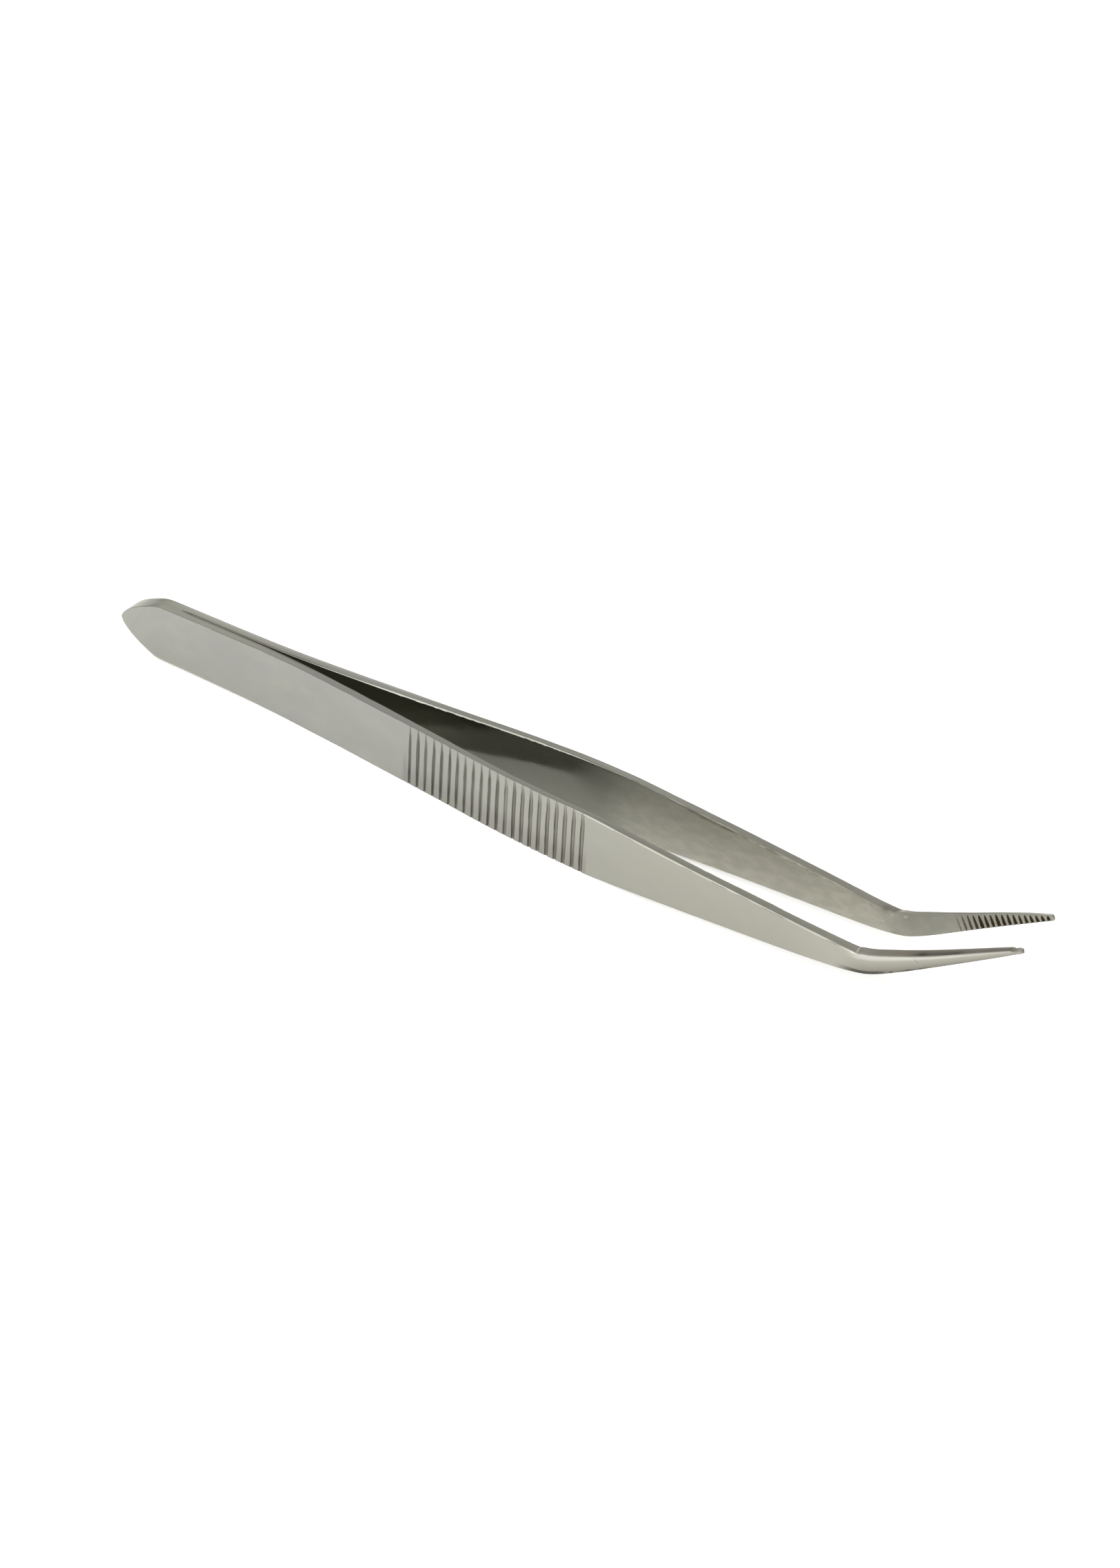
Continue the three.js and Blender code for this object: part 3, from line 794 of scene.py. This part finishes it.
def satin_steel(name, base, rough, shift, tip_range, tip_tone):
    """Satin steel with lengthwise lines, cloudy tone, brighter narrow edges, darkening in the
    cuts, stains, painted shade and painted highlights.

    shift moves the textures; tip_range (mm) is where the narrow edges take on tip_tone.
    """
    material = bpy.data.materials.new(name)
    n = Nodes(material)
    flow = n.attribute("flow", "Vector")
    groove = n.attribute("groove")
    kind = n.attribute("kind")
    glint = n.attribute("glint")
    rim = n.attribute("rim")
    place = n.add("ShaderNodeSeparateXYZ")
    n.link(flow, place.inputs[0])
    along = place.outputs["X"]

    clouds = n.noise(flow, rate=(0.13, 0.26), shift=(shift, 0), detail=2.0, rough=0.5)
    patches = n.noise(flow, rate=(0.45, 0.7), shift=(3 + shift, 1), detail=3.0, rough=0.55,
                      turn=0.3)
    fine = n.noise(flow, rate=(2.2, 3.0), shift=(3 + shift, 1), detail=3.0, rough=0.6)
    streaks = n.noise(flow, rate=(0.22, 5.0), shift=(0, shift), detail=2.0, rough=0.5,
                      turn=0.02)

    # masks for the inner face, the narrow edges and the outer face
    inner = n.invert(n.remap(kind, (0.05, 0.45)))
    wall = n.peak(kind, at=0.5, steepness=2.6)
    outer = n.remap(kind, (0.6, 0.95))

    # cloudy tone with cool patches, warmer towards the tip, with darker streaks
    colour = n.mix(n.remap(clouds, (0.3, 0.7)), shade(base, 0.96), shade(base, 1.04))
    colour = n.mix(n.times(n.remap(patches, (0.42, 0.62)), 0.6), colour,
                   shade(base, 0.97, 0.985, 1.04))
    colour = n.mix(n.times(n.remap(along, (40, 110)), 0.7), colour,
                   shade(base, 1.0, 0.985, 0.92))
    colour = n.mix(n.times(n.remap(streaks, (0.5, 0.75)), 0.10), colour, shade(base, 0.86))
    # lighter beyond the bend, the outer face slightly darker towards the tail
    colour = n.mix(n.times(n.remap(along, (112, 126)), 0.9), colour,
                   shade(base, 1.10, 1.085, 1.04))
    colour = n.mix(n.times(outer, n.remap(along, (76, 56))), colour,
                   [0.925, 0.925, 0.93], "MULTIPLY")

    # dark mottling on the inner face and, beyond the grip, on the narrow edges
    mottled = n.math("MAXIMUM", inner, n.times(wall, n.remap(along, (78, 90), (0.0, 0.6))))
    mottle_noise = n.noise(flow, rate=(0.42, 0.85), shift=(9 + shift, 4), detail=4.0,
                           rough=0.62, turn=0.4)
    mottle = n.times(mottled, n.remap(mottle_noise, (0.38, 0.62)),
                     n.remap(along, (146, 148), (1.0, 0.0)))
    # the inner face is darker towards the tail and at the tip, darker still at the grip and
    # lighter from there to the bend
    inner_darker = n.math("MAXIMUM", n.remap(along, (92, 74), (0.0, 0.62)),
                  n.times(n.remap(along, (124.5, 129)), 0.62))
    colour = n.mix(n.times(inner, inner_darker), colour, shade(base, 0.74, 0.735, 0.70))
    # painted shade: the darker grip part stands in for the reflection of the other arm's inner
    # face
    grip_part = n.times(n.remap(along, (50, 60)), n.remap(along, (84, 76)))
    colour = n.mix(n.times(inner, grip_part), colour, [0.80, 0.80, 0.79], "MULTIPLY")
    open_part = n.times(n.remap(along, (76, 86)), n.remap(along, (127, 120)))
    colour = n.mix(n.times(inner, open_part), colour, [1.24, 1.23, 1.21], "MULTIPLY")
    colour = n.mix(n.times(mottle, n.remap(along, (66, 92), (0.08, 0.19))), colour,
                   shade(base, 0.68, 0.67, 0.62))

    # the narrow edges: brighter near the tail, toned at the tip, with a faint line
    colour = n.mix(n.times(wall, n.remap(along, (42, 14))), colour,
                   shade(base, 1.27, 1.27, 1.20))
    colour = n.mix(n.times(wall, n.remap(along, tip_range)), colour, shade(base, *tip_tone))
    line = n.peak(rim, at=0.62, steepness=7.0)
    colour = n.mix(n.times(wall, line, n.remap(streaks, (0.3, 0.7), (0.0, 0.22))), colour,
                   shade(base, 0.62))
    # darkening, stains and painted shade, then painted highlights
    darkening = n.mix(inner, DIRT_AND_SHADE_OUTER, DARK_INNER)
    colour = n.mix(n.remap(groove, (0.0, 1.0), curve="LINEAR"), colour, darkening)
    colour = n.mix(glint, colour, PAINTED_HIGHLIGHT)

    # the inner face is smoother towards the tail and rougher towards the tip
    tipward = n.remap(along, (62, 92))
    roughness = n.remap(clouds, (0.25, 0.75), (rough - 0.015, rough + 0.03))
    for added in (n.times(inner, n.remap(along, (73, 80), (-0.19, 0.12))),
                  n.times(mottle, n.times(tipward, 0.06)),
                  n.times(groove, 0.16)):
        roughness = n.math("ADD", roughness, added)
    roughness = n.math("ADD", roughness, n.times(glint, 0.25), clamp=True)

    # a very shallow bump, on the inner face only
    height = n.math("ADD", n.times(streaks, 0.5), n.times(fine, 0.5))
    height = n.math("ADD", height, n.times(groove, fine, 1.5))
    height = n.math("ADD", height, n.times(mottle, 0.8))
    bump = n.add("ShaderNodeBump")
    n.link(n.times(0.06, inner), bump.inputs["Strength"])
    bump.inputs["Distance"].default_value = 0.000012
    n.link(height, bump.inputs["Height"])

    shader = n.add("ShaderNodeBsdfPrincipled")
    shader.inputs["Metallic"].default_value = 1.0
    # stray light between the two arms, where they lie close together
    shader.inputs["Emission Color"].default_value = STRAY_LIGHT
    n.link(n.times(inner, n.remap(along, (62, 42), (0.0, 0.0115))),
           shader.inputs["Emission Strength"])
    shader.inputs["Anisotropic"].default_value = 0.35
    tangent = n.add("ShaderNodeTangent", direction_type="RADIAL", axis="Y")
    n.link(tangent.outputs[0], shader.inputs["Tangent"])
    n.link(colour, shader.inputs["Base Color"])
    n.link(roughness, shader.inputs["Roughness"])
    n.link(bump.outputs["Normal"], shader.inputs["Normal"])
    n.link(shader.outputs[0], n.add("ShaderNodeOutputMaterial").inputs["Surface"])
    return material


steel_left = satin_steel("satin_steel_left", STEEL, rough=0.305, shift=17.0,
                         tip_range=(124.5, 128.0), tip_tone=(0.60, 0.55, 0.46))
steel_right = satin_steel("satin_steel_right", STEEL, rough=0.305, shift=0.0,
                          tip_range=(126.5, 135.0), tip_tone=(0.90, 0.82, 0.74))
# the weld has no tip: its range lies beyond the blade
steel_weld = satin_steel("fused_steel", shade(STEEL, 1.02), rough=0.34, shift=41.0,
                         tip_range=(400.0, 401.0), tip_tone=(1, 1, 1))

# ------------------------------------------------------------------ pieces
GRID = side_grid()
left = arm("left_arm_blade", GRID, side=1, seed=100)
left.data.materials.append(steel_left)
right = arm("right_arm_blade", GRID, side=-1, seed=200)
right.data.materials.append(steel_right)
tail = weld("tail_weld_metal")
tail.data.materials.append(steel_weld)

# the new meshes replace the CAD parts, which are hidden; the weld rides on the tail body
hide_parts("left_arm", "left_arm_root")
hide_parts("right_arm", "right_arm_root")
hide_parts("tail_weld")
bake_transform(left)
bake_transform(right)
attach(tail, "tail")

# ------------------------------------------------------------------ floor, light and camera
# Metres from here on.
scene = bpy.context.scene
FLOOR_HALF = 3.0


def add_floor():
    """Pale, faintly glowing paper."""
    half = FLOOR_HALF
    mesh = bpy.data.meshes.new("floor")
    corners = [(-half, -half, 0), (half, -half, 0), (half, half, 0), (-half, half, 0)]
    mesh.from_pydata(corners, [], [(0, 1, 2, 3)])
    floor = bpy.data.objects.new("floor", mesh)
    scene.collection.objects.link(floor)
    paper = bpy.data.materials.new("floor_paper")
    paper.use_nodes = True
    inputs = paper.node_tree.nodes["Principled BSDF"].inputs
    for key, value in (("Base Color", (0.93, 0.93, 0.925, 1)), ("Roughness", 0.85),
                       ("Specular IOR Level", 0.2), ("Emission Color", (1.0, 1.0, 0.99, 1)),
                       ("Emission Strength", 0.36)):
        inputs[key].default_value = value
    mesh.materials.append(paper)


# studio brightness by height of the direction looked in: (ramp position, level)
SKY_STOPS = [(0.0, 0.22), (0.10, 0.24), (0.22, 0.42), (0.42, 0.74), (0.62, 0.74),
             (0.80, 0.52), (1.0, 0.42)]
SKY_TINT = (1, 0.995, 0.97)


def add_world():
    world = bpy.data.worlds.new("studio")
    scene.world = world
    n = Nodes(world)
    coords = n.add("ShaderNodeTexCoord")
    split = n.add("ShaderNodeSeparateXYZ")
    ramp = n.add("ShaderNodeValToRGB")
    sky = n.add("ShaderNodeBackground")
    output = n.add("ShaderNodeOutputWorld")
    n.link(coords.outputs["Generated"], split.inputs[0])
    n.link(split.outputs["Z"], ramp.inputs["Fac"])
    elements = ramp.color_ramp.elements
    for k, (position, level) in enumerate(SKY_STOPS):
        stop = elements[k] if k < 2 else elements.new(position)
        stop.position = position
        stop.color = (*shade(SKY_TINT, level), 1)
    n.link(ramp.outputs["Color"], sky.inputs["Color"])
    sky.inputs["Strength"].default_value = 1.0
    # seen directly, beyond the floor, the studio is as pale as the floor
    pale = n.add("ShaderNodeBackground")
    pale.inputs["Color"].default_value = (0.96, 0.96, 0.95, 1)
    path = n.add("ShaderNodeLightPath")
    choose = n.add("ShaderNodeMixShader")
    n.link(path.outputs["Is Camera Ray"], choose.inputs[0])
    n.link(sky.outputs[0], choose.inputs[1])
    n.link(pale.outputs[0], choose.inputs[2])
    n.link(choose.outputs[0], output.inputs["Surface"])


def area(name, place, size, power, mirrored=False):
    """Area light aimed at the origin; only a mirrored one shows in reflections."""
    data = bpy.data.lights.new(name, "AREA")
    data.shape = "RECTANGLE"
    data.size, data.size_y = size
    data.energy = power
    light = bpy.data.objects.new(name, data)
    scene.collection.objects.link(light)
    light.location = place
    aim = Vector((0, 0, 0)) - Vector(place)
    light.rotation_euler = aim.to_track_quat("-Z", "Y").to_euler()
    light.visible_glossy = mirrored


# camera place and the directions of its picture's axes
CAMERA_PLACE = Vector((0.3065, -0.4660, 0.40405))
CAMERA_RIGHT = Vector((0.81933932, 0.57196273, 0.03926472))
CAMERA_DOWN = Vector((0.35798913, -0.45692092, -0.8142893))
CAMERA_AHEAD = Vector((-0.44780226, 0.68123558, -0.57912971))


def add_camera():
    data = bpy.data.cameras.new("camera")
    data.sensor_fit = "AUTO"
    data.sensor_width = 36
    data.lens = 115.75773087
    data.clip_start = 0.01
    data.clip_end = 50
    camera = bpy.data.objects.new("camera", data)
    scene.collection.objects.link(camera)
    pose = Matrix((CAMERA_RIGHT, -CAMERA_DOWN, -CAMERA_AHEAD)).transposed().to_4x4()
    pose.translation = CAMERA_PLACE
    camera.matrix_world = pose
    scene.camera = camera


add_floor()
add_world()
area("front_left", place=(-0.6, -1.4, 1.2), size=(1.6, 1.2), power=9)
area("front_right", place=(1.3, -0.6, 1.1), size=(1.4, 1.2), power=7)
area("behind", place=(0.1, 1.4, 1.2), size=(1.6, 1.2), power=5)
area("edge_light", place=(-0.54, -0.69, 0.82), size=(0.55, 1.5), power=5.0, mirrored=True)
add_camera()
scene.view_settings.view_transform = "Standard"
scene.view_settings.look = "None"
